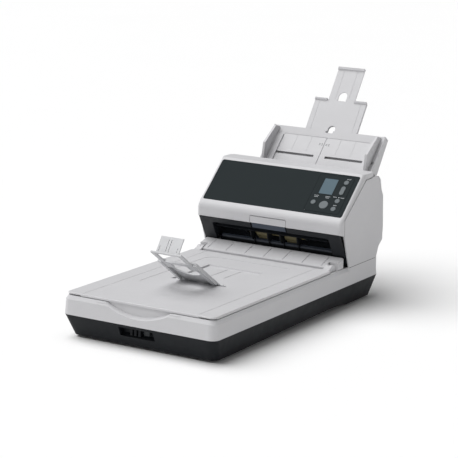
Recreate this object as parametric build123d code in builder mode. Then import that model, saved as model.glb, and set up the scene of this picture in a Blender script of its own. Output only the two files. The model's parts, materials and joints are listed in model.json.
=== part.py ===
from build123d import *
from math import asin, cos, degrees, pi, radians, sin
import os

# A4 office scanner: flatbed unit with a sheet feeder on its rear end.
# Frame: millimetres, +Z up, +Y from the front edge to the rear, +X to the right when seen from the front.
# Lengths called "from the front" are measured from the front edge of the flatbed unit along +Y.

DEPTH = 719.11                    # front edge to the rearmost lip of the extended chute
FRONT = -DEPTH / 2                # Y of the front edge
HALF = 150.0                      # half of the overall width

# flatbed unit
FOOT_Z = 4.0                      # underside of the lower casing
SPLIT_Z = 41.0                    # joint line between lower and upper casing
DECK_Z = 71.6                     # deck around the glass
RIM_Z = 73.4                      # raised rim that the feeder stands on
BASE_DEPTH = 564.0
WALL = 2.6
GLASS_TOP = 68.6
GLASS_X = 110.0
GLASS_Y = (26.0, 326.0)
LID_BOTTOM = 74.6
LID_TOP = 78.6
LID_X = 144.5
LID_Y = (5.5, 392.5)
LID_AXIS = (404.0, 76.0)          # lid hinge axis: from the front, height
LID_PIN_R = 2.2
ARM_X = (127.2, 139.8)            # lid hinge arms
RAMP_FRONT = 397.0
RAMP_REAR = 436.0
RAMP_TOP = 92.6

# stacker on the lid
STACK_AXIS = (196.0, 76.2)
STACK_ANGLE = 34.3                # slope of the raised stacker
STACK_LENGTH = 94.0
STACK_X = 38.0
EXT_X = 31.0
EXT_TIP = 134.0
STOP_S = 129.0
STOP_LENGTH = 31.0
STOP_X = 22.0
STOP_DROP = 4.0                   # stopper's axis below the stacker's axis line

# sheet feeder
SIDE_T = 2.5                      # thickness of the feeder's side covers
COVER_AXIS = (530.0, 222.0)       # lifting cover's hinge axis
BARREL_R = 12.0
PANEL_FOOT = (421.2, 167.5)       # lower edge of the sloping front panel
PANEL_ANGLE = 42.05
PANEL_LENGTH = 93.5
PANEL_X = 144.0
PATH_FOOT = (455.0, 105.0)        # paper path at the eject nip
PATH_SLOPE = 42.0
PIN_CLEAR = 0.05                  # running clearance of pins and shafts

# chute
CHUTE_TOP = (634.5, 279.5)        # top edge of the chute's paper surface
CHUTE_ANGLE = 55.5
CHUTE_X = 118.0
CHUTE_T = 12.5
BED_TOP = (626.0, 267.1)          # top of the flatter bed between the side guides
BED_ANGLE = 46.0
BED_LENGTH = 98.4
SKIN = 1.8
GUIDE_S = -43.7                   # line of the guides' pinion on the bed
PINION_TEETH = 10
EXT1_X = 54.5
EXT2_X = 28.0
EXT1_FRONT = -5.3                 # front face of the first extension, below the paper surface
EXT1_T = 5.0
EXT1_TOP = 68.5
EXT2_TOP = 137.5

os.makedirs("parts", exist_ok=True)


def side(x):
    """Upright plane seen from the right: local x is the distance from the front, local y the height."""
    return Plane(origin=(x, FRONT, 0), x_dir=(0, 1, 0), z_dir=(1, 0, 0))


def level(z):
    """Horizontal plane: local x is X, local y the distance from the front."""
    return Plane(origin=(0, FRONT, z))


def facing(y):
    """Upright plane facing the front: local x is X, local y the height, extrusions run forwards."""
    return Plane(origin=(0, FRONT + y, 0), x_dir=(1, 0, 0), z_dir=(0, -1, 0))


def slope(foot, angle, height=0.0):
    """Plane rising to the rear from foot: local y runs up the slope, its normal points up and forwards."""
    normal = Vector(0, -sin(radians(angle)), cos(radians(angle)))
    return Plane(origin=Vector(0, FRONT + foot[0], foot[1]) + normal * height, x_dir=(1, 0, 0), z_dir=normal)


def across(foot, angle, x):
    """Upright plane at x whose local x runs up the slope through foot and local y is square to it."""
    run = (0, cos(radians(angle)), sin(radians(angle)))
    return Plane(origin=(x, FRONT + foot[0], foot[1]), x_dir=run, z_dir=(1, 0, 0))


def panel(height=0.0):
    return slope(PANEL_FOOT, PANEL_ANGLE, height)


def path(height=0.0):
    return slope(PATH_FOOT, PATH_SLOPE, height)


def chute(height=0.0):
    return slope(CHUTE_TOP, CHUTE_ANGLE, height)


def bed(height=0.0):
    return slope(BED_TOP, BED_ANGLE, height)


def stacker(height=0.0):
    """Plane of the raised stacker: local y runs up the plate, its normal points down and forwards."""
    normal = Vector(0, -sin(radians(STACK_ANGLE)), -cos(radians(STACK_ANGLE)))
    origin = Vector(0, FRONT + STACK_AXIS[0], STACK_AXIS[1]) + normal * height
    return Plane(origin=origin, x_dir=(1, 0, 0), z_dir=normal)


def stacker_side(x):
    run = (0, -cos(radians(STACK_ANGLE)), sin(radians(STACK_ANGLE)))
    return Plane(origin=(x, FRONT + STACK_AXIS[0], STACK_AXIS[1]), x_dir=run, z_dir=(-1, 0, 0))


def outline(plane, *points):
    """Closed outline through the points."""
    with BuildSketch(plane) as sketch:
        with BuildLine():
            Polyline(*points, close=True)
        make_face()
    return sketch.sketch


def rect(plane, x, y, radius=0.0):
    """Rectangle from x[0] to x[1] and y[0] to y[1], with rounded corners if radius is given."""
    with BuildSketch(plane) as sketch:
        with Locations(((x[0] + x[1]) / 2, (y[0] + y[1]) / 2)):
            if radius:
                RectangleRounded(x[1] - x[0], y[1] - y[0], radius)
            else:
                Rectangle(x[1] - x[0], y[1] - y[0])
    return sketch.sketch


def disc(plane, *centres, radius):
    with BuildSketch(plane) as sketch:
        with Locations(*centres):
            Circle(radius)
    return sketch.sketch


def save(part, name):
    part.label = name
    export_step(part, f"parts/{name}.step")


def span(low, high):
    """Both mirrored stretches of X from low to high."""
    return ((low, high), (-high, -low))


# ---------------------------------------------------------------- flatbed unit

TRAY_FLOOR = 12.0
TRAY_FOOT_X = 141.0
TRAY_FOOT_Y = (16.6, 551.0)
WINDOW_X = (-37.6, 30.0)
WINDOW_Z = (20.0, 36.0)
POSTS = [(-130, 38), (130, 38), (-130, 530), (130, 530)]
DC_X = -92.0
USB_X = -62.0
REAR_PORT_Z = 27.0


def tray_outline(z, inset=0.0):
    """Section of the lower casing, which widens upwards."""
    t = (z - FOOT_Z) / (SPLIT_Z - FOOT_Z)
    half = TRAY_FOOT_X + (HALF - TRAY_FOOT_X) * t - inset
    front = TRAY_FOOT_Y[0] * (1 - t) + inset
    rear = TRAY_FOOT_Y[1] + (BASE_DEPTH - TRAY_FOOT_Y[1]) * t - inset
    return rect(level(z), (-half, half), (front, rear), 14 - inset)


def make_base_tray():
    with BuildPart() as base_tray:
        loft([tray_outline(FOOT_Z), tray_outline(SPLIT_Z)])
        loft([tray_outline(TRAY_FLOOR, WALL), tray_outline(SPLIT_Z + 0.1, WALL)], mode=Mode.SUBTRACT)
        # the underside rises towards a hand grip in front of the feeder
        grip = [(60, -1), (60, FOOT_Z), (385, 9.3), (425, 8.6), (441, 6.2), (455, FOOT_Z), (455, -1)]
        extrude(outline(side(-HALF), *grip), amount=2 * HALF, mode=Mode.SUBTRACT)
        extrude(rect(facing(25), WINDOW_X, WINDOW_Z, 1), amount=26, mode=Mode.SUBTRACT)
        extrude(disc(level(TRAY_FLOOR - 1), *POSTS, radius=5), amount=SPLIT_Z - TRAY_FLOOR + 1)
        extrude(disc(level(SPLIT_Z - 10), *POSTS, radius=1.5), amount=11, mode=Mode.SUBTRACT)
        dc = rect(facing(570), (DC_X - 6.4, DC_X + 6.4), (REAR_PORT_Z - 6.4, REAR_PORT_Z + 6.4), 2)
        usb = rect(facing(570), (USB_X - 6.4, USB_X + 6.4), (REAR_PORT_Z - 6, REAR_PORT_Z + 6), 1)
        extrude(dc, amount=24, mode=Mode.SUBTRACT)
        extrude(usb, amount=24, mode=Mode.SUBTRACT)
        slot = rect(facing(570), (110, 117), (25, 28.2), 1)
        extrude(slot, amount=24, mode=Mode.SUBTRACT)
        for i in range(9):
            x = -20 + 9 * i
            extrude(rect(facing(570), (x - 1.5, x + 1.5), (19, 34), 1), amount=24, mode=Mode.SUBTRACT)
    save(base_tray.part, "base_tray")


def make_feet():
    with BuildPart() as feet:
        extrude(disc(level(0), (-116, 44), (116, 44), (-116, 516), (116, 516), radius=11), amount=FOOT_Z)
        chamfer(feet.faces().sort_by(Axis.Z)[:4].edges(), 1)
    save(feet.part, "rubber_feet")


def make_front_bay():
    """Pocket behind the window in the lower casing, with three guide blocks on its sloping floor."""
    with BuildPart() as front_bay:
        body = [(13.9, 17.6), (4.4, 38.4), (22, 38.4), (22, 17.6)]
        extrude(outline(side(WINDOW_X[0] - 2.4), *body), amount=WINDOW_X[1] - WINDOW_X[0] + 4.8)
        extrude(rect(facing(18), WINDOW_X, WINDOW_Z), amount=20, mode=Mode.SUBTRACT)
        floor = [(12.4, WINDOW_Z[0]), (18, WINDOW_Z[0]), (18, 24.5)]
        extrude(outline(side(WINDOW_X[0]), *floor), amount=WINDOW_X[1] - WINDOW_X[0])
        for x in (-17.5, -9.5, -1.5):
            extrude(rect(facing(18), (x - 2.2, x + 2.2), (22.5, 33)), amount=7)
    save(front_bay.part, "front_bay")


def make_lock_switch():
    with BuildPart() as lock_switch:
        extrude(rect(facing(17.7), (8, 18), (26, 34.5), 1), amount=7)
        chamfer(lock_switch.faces().sort_by(Axis.Y)[0].edges(), 0.8)
        for x in (10.5, 13, 15.5):
            extrude(rect(facing(10.7), (x - 0.4, x + 0.4), (27.5, 33)), amount=0.5)
    save(lock_switch.part, "lock_switch")


COVER_SHOULDER = 67.0


def make_base_cover():
    with BuildPart() as base_cover:
        foot = rect(level(SPLIT_Z + 0.2), (-HALF, HALF), (0, BASE_DEPTH), 14)
        shoulder = rect(level(COVER_SHOULDER), (-148.7, 148.7), (1.3, 560), 14)
        rim = rect(level(RIM_Z), (-144.9, 144.9), (5, 556), 12)
        loft([foot, shoulder])
        loft([shoulder, rim])
        # under the feeder the rim is as wide as the feeder itself
        seat = rect(level(SPLIT_Z + 2), (-149.4, 149.4), (445, 559.5), 10)
        extrude(seat, amount=RIM_Z - SPLIT_Z - 2)
        cavity = rect(level(SPLIT_Z), (-145.5, 145.5), (5, 555), 10)
        extrude(cavity, amount=GLASS_TOP - SPLIT_Z, mode=Mode.SUBTRACT)
        # thick front wall behind the finger scoop
        extrude(rect(level(50), (-82, 82), (3, 15)), amount=DECK_Z - 50)
        deck = rect(level(DECK_Z), (-133, 133), (13.5, 391), 6)
        extrude(deck, amount=5, mode=Mode.SUBTRACT)
        window = rect(level(60), (-GLASS_X, GLASS_X), GLASS_Y, 2)
        extrude(window, amount=20, mode=Mode.SUBTRACT)
        # finger scoop under the lid's front edge
        front = Plane(origin=(0, FRONT - 0.5, 0), x_dir=(-1, 0, 0), z_dir=(0, 1, 0))
        with BuildSketch(front):
            with BuildLine():
                arc = ThreePointArc((-71, RIM_Z + 0.4), (0, 52.5), (71, RIM_Z + 0.4))
                Polyline(arc @ 1, (71, RIM_Z + 8), (-71, RIM_Z + 8), arc @ 0)
            make_face()
        extrude(amount=9, taper=28, mode=Mode.SUBTRACT)
        for low, high in span(ARM_X[0] - 1, ARM_X[1] + 1):
            extrude(rect(level(64), (low, high), (388, 416.5)), amount=20, mode=Mode.SUBTRACT)
        extrude(rect(level(60), (-100, 100), (450, 540), 4), amount=20, mode=Mode.SUBTRACT)
        extrude(disc(level(SPLIT_Z + 0.2), *POSTS, radius=5), amount=DECK_Z - SPLIT_Z - 2)
        extrude(disc(level(SPLIT_Z), *POSTS, radius=1.5), amount=12, mode=Mode.SUBTRACT)
    save(base_cover.part, "base_cover")


def make_casing_screws():
    """Screws from below through the posts of the lower casing."""
    with BuildPart() as casing_screws:
        extrude(disc(level(SPLIT_Z - 9.5), *POSTS, radius=1.45), amount=20)
    save(casing_screws.part, "casing_screws")


def make_flatbed_glass():
    with BuildPart() as flatbed_glass:
        edge = 4.0
        sheet = rect(level(GLASS_TOP - 3), (-GLASS_X - edge, GLASS_X + edge),
                     (GLASS_Y[0] - edge, GLASS_Y[1] + edge))
        extrude(sheet, amount=2.9)
    save(flatbed_glass.part, "flatbed_glass")


def ramp_height(y):
    return 81.6 + (y - RAMP_FRONT) * (RAMP_TOP - 81.6) / (432 - RAMP_FRONT)


def make_ramp_cover():
    """White ramp between the lid and the feeder, with paper ribs and the sockets of the lid hinges."""
    with BuildPart() as ramp_cover:
        shell = [(RAMP_FRONT, RIM_Z + 0.1), (RAMP_FRONT, 80.4), (RAMP_FRONT + 0.8, 81.7),
                 (432, RAMP_TOP), (RAMP_REAR, RAMP_TOP), (RAMP_REAR, RIM_Z + 0.1)]
        extrude(outline(side(-143.4), *shell), amount=286.8)
        upper = ramp_cover.edges().filter_by(GeomType.LINE)
        ends = [e for e in upper if abs(abs(e.center().X) - 143.4) < 0.01 and e.center().Z > 84]
        chamfer(ends, 2)
        inside = [(RAMP_FRONT + 2.2, RIM_Z), (RAMP_FRONT + 2.2, 79.2), (432, RAMP_TOP - 2.5),
                  (RAMP_REAR - 2, RAMP_TOP - 2.5), (RAMP_REAR - 2, RIM_Z)]
        extrude(outline(side(-141), *inside), amount=282, mode=Mode.SUBTRACT)
        for low, high in span(118, ARM_X[0] - 1.2):
            extrude(rect(side(low), (RAMP_FRONT + 1, 411.5), (RIM_Z + 0.1, 79.8)), amount=high - low)
        for low, high in span(ARM_X[0] - 1.0, 150):
            extrude(rect(side(low), (390, 416.0), (60, 100)), amount=high - low, mode=Mode.SUBTRACT)
        for low, high in span(ARM_X[0] - 1.0, 143.4):
            extrude(rect(side(low), (416, 418), (RIM_Z + 0.1, 86.5)), amount=high - low)
        for x in (-118, -79, -39.4, 0, 39.4, 79, 118):
            groove = [(RAMP_FRONT + 3, ramp_height(RAMP_FRONT + 3) - 1.4), (RAMP_FRONT + 3, 100),
                      (431, 100), (431, ramp_height(431) - 1.4)]
            extrude(outline(side(x - 0.6), *groove), amount=1.2, mode=Mode.SUBTRACT)
        pin = disc(side(-150), LID_AXIS, radius=LID_PIN_R)
        extrude(pin, amount=300, mode=Mode.SUBTRACT)
    save(ramp_cover.part, "ramp_cover")


def make_hinge_pins():
    """Steel pins of the lid's hinges and of the lifting cover's hinges."""
    with BuildPart() as hinge_pins:
        for low, high in span(118.5, ARM_X[1]):
            extrude(disc(side(low), LID_AXIS, radius=LID_PIN_R), amount=high - low)
        for low, high in span(FRAME_X[0] - 1, 145.6):
            extrude(disc(side(low), COVER_AXIS, radius=3), amount=high - low)
    save(hinge_pins.part, "hinge_pins")


def make_flatbed_lid():
    with BuildPart() as flatbed_lid:
        extrude(rect(level(LID_BOTTOM), (-LID_X, LID_X), LID_Y, 9), amount=LID_TOP - LID_BOTTOM)
        fillet(flatbed_lid.faces().sort_by(Axis.Z)[-1].edges(), 1.6)
        step = rect(level(DECK_Z + 0.6), (-130, 130), (17, 388), 5)
        extrude(step, amount=LID_BOTTOM - DECK_Z - 0.6)
        # the front edge is thinner outside the middle lip
        for low, high in span(115, 146):
            extrude(rect(level(LID_BOTTOM - 0.1), (low, high), (4, 15)), amount=1.3, mode=Mode.SUBTRACT)
        for x in (-113, 113):
            extrude(rect(level(LID_TOP - 0.35), (x - 0.4, x + 0.4), (9, 389)), amount=1, mode=Mode.SUBTRACT)
        field = rect(level(LID_TOP - 0.4), (-88, 88), (124, 360), 20)
        extrude(field, amount=1, mode=Mode.SUBTRACT)
        # ramped recess that takes the folded stacker, and the slot of its hinge
        recess = [(185, 75.4), (306, 75.4), (308, LID_TOP + 1), (185, LID_TOP + 1)]
        extrude(outline(side(-55.5), *recess), amount=111, mode=Mode.SUBTRACT)
        extrude(rect(level(73.2), (-43.5, 43.5), (185, 202.5)), amount=9, mode=Mode.SUBTRACT)
        for x in (-13.5, 13.5):
            extrude(rect(level(74.7), (x - 0.7, x + 0.7), (243, 303)), amount=1, mode=Mode.SUBTRACT)
        extrude(disc(side(-47.5), STACK_AXIS, radius=1.2), amount=95)
        for low, high in span(*ARM_X):
            hump = [(383, LID_BOTTOM), (383, LID_TOP), (390, 79.4), (398, 82.3), (405, 84.9),
                    (408, 84.3), (404, 72), (391, 72.6), (390, LID_BOTTOM)]
            extrude(outline(side(low), *hump), amount=high - low)
            extrude(disc(side(low), LID_AXIS, radius=9.2), amount=high - low)
            middle = (low + high) / 2
            line = rect(level(83.6), (middle - 0.5, middle + 0.5), (399, 410))
            extrude(line, amount=3, mode=Mode.SUBTRACT)
        bore = disc(side(-150), LID_AXIS, radius=LID_PIN_R + PIN_CLEAR)
        extrude(bore, amount=300, mode=Mode.SUBTRACT)
    save(flatbed_lid.part, "flatbed_lid")


def make_backing_pad():
    """White pad under the lid that presses a sheet on the glass."""
    with BuildPart() as backing_pad:
        pad = rect(level(GLASS_TOP + 0.4), (-GLASS_X + 1.5, GLASS_X - 1.5),
                   (GLASS_Y[0] + 1.5, GLASS_Y[1] - 1.5), 2)
        extrude(pad, amount=DECK_Z + 0.6 - GLASS_TOP - 0.4)
    save(backing_pad.part, "backing_pad")


# ---------------------------------------------------------------- scan carriage

ROD_X = -60.0
ROD_Z = 46.0
ROD_R = 4.0
CARRIAGE_Y = (34.0, 62.0)
BELT_X = 60.0
BELT_Z = 45.0
PULLEY_R = 6.0
PULLEY_Y = (26.0, 350.0)


def make_carriage():
    with BuildPart() as carriage:
        extrude(rect(level(53), (-114, 114), CARRIAGE_Y, 3), amount=11.5)
        extrude(rect(level(59.5), (-108, 108), (44, 52)), amount=6, mode=Mode.SUBTRACT)
        extrude(rect(level(ROD_Z - 6.5), (ROD_X - 8, ROD_X + 8), (36, 60)), amount=14)
        rod = disc(facing(0), (ROD_X, ROD_Z), radius=ROD_R + PIN_CLEAR)
        extrude(rod, amount=-100, mode=Mode.SUBTRACT)
        extrude(rect(level(60), (-107, 107), (45, 51)), amount=3.5)
    save(carriage.part, "carriage")


def make_guide_rod():
    with BuildPart() as guide_rod:
        extrude(disc(facing(20), (ROD_X, ROD_Z), radius=ROD_R), amount=-340)
    save(guide_rod.part, "guide_rod")
    with BuildPart() as carriage_brackets:
        for y in (21, 353):
            extrude(rect(level(TRAY_FLOOR), (ROD_X - 8, ROD_X + 8), (y, y + 6)), amount=ROD_Z + 7 - TRAY_FLOOR)
        hole = disc(facing(0), (ROD_X, ROD_Z), radius=ROD_R)
        extrude(hole, amount=-400, mode=Mode.SUBTRACT)
        extrude(rect(side(BELT_X + 6), (PULLEY_Y[0] - 6, PULLEY_Y[0] + 8), (TRAY_FLOOR, BELT_Z + 8)), amount=2)
        extrude(disc(side(BELT_X - 7), (PULLEY_Y[0], BELT_Z), radius=2), amount=13.5)
    save(carriage_brackets.part, "carriage_brackets")


def make_belt_drive():
    """Belt of the carriage round two pulleys; the rear pulley sits on the motor's shaft."""
    with BuildPart() as carriage_belt:
        for radius, mode in ((PULLEY_R + 1.3, Mode.ADD), (PULLEY_R + 0.3, Mode.SUBTRACT)):
            with BuildSketch(side(BELT_X - 3)):
                with Locations(((PULLEY_Y[0] + PULLEY_Y[1]) / 2, BELT_Z)):
                    SlotCenterToCenter(PULLEY_Y[1] - PULLEY_Y[0], 2 * radius)
            extrude(amount=6, mode=mode)
    save(carriage_belt.part, "carriage_belt")
    for name, y in zip(("front_pulley", "drive_pulley"), PULLEY_Y):
        with BuildPart() as pulley:
            extrude(disc(side(BELT_X - 4), (y, BELT_Z), radius=PULLEY_R), amount=8)
            for x in (BELT_X - 5, BELT_X + 3.4):
                extrude(disc(side(x), (y, BELT_Z), radius=PULLEY_R + 2), amount=1.6)
            if name == "drive_pulley":
                extrude(disc(side(BELT_X - 5), (y, BELT_Z), radius=2), amount=20)
            else:
                bore = disc(side(BELT_X - 9), (y, BELT_Z), radius=2 + PIN_CLEAR)
                extrude(bore, amount=20, mode=Mode.SUBTRACT)
        save(pulley.part, name)
    with BuildPart() as carriage_motor:
        extrude(disc(side(BELT_X + 8), (PULLEY_Y[1], BELT_Z), radius=17), amount=22)
        plate = rect(side(BELT_X + 6), (PULLEY_Y[1] - 20, PULLEY_Y[1] + 20), (TRAY_FLOOR, BELT_Z + 15))
        extrude(plate, amount=2)
        bore = disc(side(BELT_X + 5), (PULLEY_Y[1], BELT_Z), radius=2 + PIN_CLEAR)
        extrude(bore, amount=11, mode=Mode.SUBTRACT)
    save(carriage_motor.part, "carriage_motor")


def make_electronics():
    with BuildPart() as control_board:
        extrude(rect(level(20), (-120, 30), (400, 535), 2), amount=1.6)
        for x, y, w, d, h in ((-80, 470, 24, 24, 3), (-30, 460, 16, 16, 2.4), (0, 430, 12, 20, 9)):
            extrude(rect(level(21.6), (x - w / 2, x + w / 2), (y - d / 2, y + d / 2)), amount=h)
        extrude(disc(level(TRAY_FLOOR), (-112, 408), (22, 408), (-112, 527), (22, 527), radius=3), amount=8)
    save(control_board.part, "control_board")
    with BuildPart() as rear_ports:
        extrude(rect(facing(557), (DC_X - 6, DC_X + 6), (REAR_PORT_Z - 5.4, REAR_PORT_Z + 6), 1.5), amount=20)
        extrude(disc(facing(557), (DC_X, REAR_PORT_Z), radius=3.1), amount=12, mode=Mode.SUBTRACT)
        extrude(disc(facing(555), (DC_X, REAR_PORT_Z), radius=1), amount=12)
        extrude(rect(facing(557), (USB_X - 6, USB_X + 6), (REAR_PORT_Z - 5.4, REAR_PORT_Z + 5.6)), amount=20)
        hole = rect(facing(557), (USB_X - 4.2, USB_X + 4.2), (REAR_PORT_Z - 3.8, REAR_PORT_Z + 4))
        extrude(hole, amount=11, mode=Mode.SUBTRACT)
        tongue = rect(facing(555.5), (USB_X - 2.8, USB_X + 2.8), (REAR_PORT_Z - 1.6, REAR_PORT_Z + 1.6))
        extrude(tongue, amount=10)
    save(rear_ports.part, "rear_ports")


# ---------------------------------------------------------------- stacker

def make_stacker():
    with BuildPart() as stacker_plate:
        extrude(rect(stacker(-0.6), (-STACK_X, STACK_X), (1, STACK_LENGTH), 2), amount=2.4)
        # window in the plate with a curved lower edge
        with BuildSketch(stacker(-2)):
            with BuildLine():
                edge = ThreePointArc((-26, 52), (0, 38), (26, 52))
                Line(edge @ 1, (26, STACK_LENGTH + 1))
                Line((26, STACK_LENGTH + 1), (-26, STACK_LENGTH + 1))
                Line((-26, STACK_LENGTH + 1), edge @ 0)
            make_face()
        extrude(amount=10, mode=Mode.SUBTRACT)
        for low, high in span(STACK_X - 6.4, STACK_X):
            extrude(rect(stacker(1.8), (low, high), (14, STACK_LENGTH - 1)), amount=3.6)
        for low, high in span(STACK_X - 7.6, STACK_X - 4.5):
            extrude(rect(stacker(5.4), (low, high), (14, STACK_LENGTH - 1)), amount=0.8)
        barrel = disc(side(-43), STACK_AXIS, radius=2.3)
        extrude(barrel, amount=86)
        for low, high in span(4, STACK_X):
            extrude(rect(stacker(-0.6), (low, high), (0, 6)), amount=2.4)
        extrude(rect(stacker(-5), (-4, 4), (-4, 5)), amount=12, mode=Mode.SUBTRACT)
        # grip ribs on the left rail
        for i in range(9):
            s = 34 + 3.2 * i
            extrude(rect(stacker(1.8), (-STACK_X + 6.4, -STACK_X + 8.4), (s, s + 1.4)), amount=0.5)
        extrude(disc(side(-60), STACK_AXIS, radius=1.2 + PIN_CLEAR), amount=120, mode=Mode.SUBTRACT)
    save(stacker_plate.part, "stacker_plate")
    with BuildPart() as extension:
        extrude(rect(stacker(2.7), (-EXT_X, EXT_X), (70, EXT_TIP), 2), amount=2.6)
        inner = EXT_X - 8
        extrude(rect(stacker(2), (-inner, inner), (94, EXT_TIP - 8.5)), amount=4, mode=Mode.SUBTRACT)
        extrude(rect(stacker(2), (-16, 16), (60, 86)), amount=4, mode=Mode.SUBTRACT)
        # notch that takes the stopper's hinge
        extrude(rect(stacker(2), (-STOP_X - 0.6, STOP_X + 0.6), (120, STOP_S + 2.4)), amount=4,
                mode=Mode.SUBTRACT)
        extrude(disc(side(-27.5), stop_centre(), radius=0.8), amount=55)
    save(extension.part, "stacker_extension")
    with BuildPart() as stopper:
        plate = rect(stacker_side(-STOP_X), (STOP_S - 1.1, STOP_S + 1.1), (-STOP_DROP, STOP_LENGTH - STOP_DROP))
        extrude(plate, amount=-2 * STOP_X)
        fillet(stopper.edges().filter_by(Axis.X).sort_by(Axis.Z)[-1:], 0.8)
        extrude(disc(side(-STOP_X), stop_centre(), radius=1.3), amount=2 * STOP_X)
        for x, top in ((-5, 22), (0.5, 22), (-18.5, 9), (16.5, 9)):
            slit = rect(stacker_side(x), (STOP_S - 3, STOP_S + 3), (0, top))
            extrude(slit, amount=-1.8, mode=Mode.SUBTRACT)
        extrude(disc(side(-30), stop_centre(), radius=0.8 + PIN_CLEAR), amount=60, mode=Mode.SUBTRACT)
    save(stopper.part, "stacker_stopper")


def stop_centre():
    """Axis of the stopper: distance from the front and height."""
    c, s = cos(radians(STACK_ANGLE)), sin(radians(STACK_ANGLE))
    return (STACK_AXIS[0] - STOP_S * c - STOP_DROP * s, STACK_AXIS[1] + STOP_S * s - STOP_DROP * c)


# ---------------------------------------------------------------- feeder housing

SIDE_FRONT = [(446, RIM_Z + 0.3), (424.2, 133.4), (423.3, 163.4), (500.3, 223.9), (524, 224.9)]
SIDE_REAR = [(541, 224.6), (553, 216), (558, 197), (565, 185), (568.5, 128), (567.5, 103), (554, 93),
             (545, RIM_Z + 0.3)]
REAR_DEPTH = 8.5


def make_side_covers():
    for name, x in (("side_cover_left", -HALF), ("side_cover_right", HALF - SIDE_T)):
        with BuildPart() as cover:
            extrude(outline(side(x), *SIDE_FRONT, *SIDE_REAR), amount=SIDE_T)
            inner = x + SIDE_T if x < 0 else x - 2
            for y, z in ((485, 88), (558, 112), (508, 203)):
                extrude(disc(side(inner), (y, z), radius=4), amount=2)
        save(cover.part, name)


def make_rear_cover():
    """Rear shell with rounded vertical corners, open at the top where the chute enters."""
    with BuildPart() as rear_cover:
        heights = sorted(SIDE_REAR[1:], key=lambda point: point[1])
        loft([rect(level(z), (-HALF, HALF), (500, y + REAR_DEPTH), 6) for y, z in heights], ruled=True)
        seam = [(y + 0.3, z) for y, z in heights]
        extrude(outline(side(-160), (490, 60), (seam[0][0], 60), *seam, (seam[-1][0], 240), (490, 240)),
                amount=320, mode=Mode.SUBTRACT)
        top = [(543, 214), (543, 223), (553.3, 223), (562, 216), (561, 214)]
        extrude(outline(side(-147), *top), amount=294)
        hollow = [(y + REAR_DEPTH - 2.6, z) for y, z in heights[:-1]]
        extrude(outline(side(-144), (530, 70), (hollow[0][0], 70), *hollow, (550, 213), (530, 213)),
                amount=288, mode=Mode.SUBTRACT)
        throat = rect(side(-CHUTE_X - 1.5), (530, 600), (183, 240))
        extrude(throat, amount=2 * CHUTE_X + 3, mode=Mode.SUBTRACT)
        for i in range(11):
            x = -50 + 10 * i
            extrude(rect(facing(600), (x - 1.6, x + 1.6), (140, 165), 1.5), amount=50, mode=Mode.SUBTRACT)
    save(rear_cover.part, "rear_cover")


FRAME_X = (139.0, 141.0)


def make_side_frames():
    """Steel plates that carry the shafts and the cover's hinge pins."""
    with BuildPart() as side_frames:
        for low, high in span(*FRAME_X):
            body = [(453, RIM_Z + 0.3), (453, 108), (472, 122), (500, 176), (521, 206), (524, 222),
                    (534, 222), (531, 208), (541, 198), (553, 190), (566, 183), (568, 128), (562, 106),
                    (548, 96), (541, RIM_Z + 0.3)]
            extrude(outline(side(low), *body), amount=high - low)
            extrude(disc(side(low), COVER_AXIS, radius=7), amount=high - low)
            foot = sorted((low, low - 6)) if low < 0 else (high, high + 6)
            extrude(rect(level(RIM_Z + 0.3), foot, (470, 536)), amount=2)
        holes = [(COVER_AXIS, 3)]
        holes += [(path_point(*roller[:2]), SHAFT_R + PIN_CLEAR) for roller in LOWER_SHAFTS.values()]
        holes += [(motor_centre(), 3)]
        for centre, radius in holes:
            extrude(disc(side(-150), centre, radius=radius), amount=300, mode=Mode.SUBTRACT)
    save(side_frames.part, "side_frames")


def path_point(t, height):
    """Point beside the paper path: t along it from the eject nip, height above it."""
    c, s = cos(radians(PATH_SLOPE)), sin(radians(PATH_SLOPE))
    return (PATH_FOOT[0] + t * c - height * s, PATH_FOOT[1] + t * s + height * c)


# t along the path, height of the axis above it, tyre radius, tyre stretches in X, left and right shaft ends
SHAFT_R = 3.0
LOWER_SHAFTS = {
    "eject_roller": (4.5, -7.0, 6.6, ((-42, -17), (17, 42)), (-147, 142)),
    "feed_roller": (92.0, -10.0, 9.6, ((-30, -10), (10, 30)), (-147, 146.5)),
    "pick_roller": (122.0, -9.0, 9.4, ((-34, -12), (12, 34)), (-147, 142)),
}
UPPER_SHAFTS = {
    "eject_idlers": (3.0, 6.9, 6.5, ((-42, -17), (17, 42)), (-62, 62)),
    "brake_roller": (92.0, 9.0, 8.6, ((-26, -4), (4, 26)), (-62, 62)),
}
FEED_TEETH = 44
MOTOR_TEETH = 16
GEAR_X = 143.0
MOTOR_LEAN = -94.25               # direction from the feed shaft to the motor
BELT_PULLEY_R = 6.0


def motor_centre():
    feed = path_point(*LOWER_SHAFTS["feed_roller"][:2])
    reach = polar((FEED_TEETH + MOTOR_TEETH) / 2, MOTOR_LEAN)
    return (feed[0] + reach[0], feed[1] + reach[1])


def make_rollers():
    for name, (t, height, radius, tyres, ends) in {**LOWER_SHAFTS, **UPPER_SHAFTS}.items():
        centre = path_point(t, height)
        shaft = 2.0 if name in UPPER_SHAFTS else SHAFT_R
        with BuildPart() as roller:
            extrude(disc(side(ends[0]), centre, radius=shaft), amount=ends[1] - ends[0])
            for low, high in tyres:
                extrude(disc(side(low), centre, radius=radius), amount=high - low)
                extrude(disc(side(low - 2), centre, radius=radius - 2.2), amount=high - low + 4)
            if name in LOWER_SHAFTS:
                extrude(disc(side(ends[0]), centre, radius=BELT_PULLEY_R), amount=4.5)
            if name == "feed_roller":
                add(gear(FEED_TEETH, GEAR_X, centre, 3.5, MOTOR_LEAN))
        save(roller.part, name)


def tooth(pitch, root, tip):
    """One tooth on the local x axis, a little thinner than half of the pitch so that the pair runs freely."""
    return outline(Plane.XY, (root - 0.4, -0.95), (pitch, -0.62), (tip, -0.3), (tip, 0.3), (pitch, 0.62),
                   (root - 0.4, 0.95))


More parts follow.
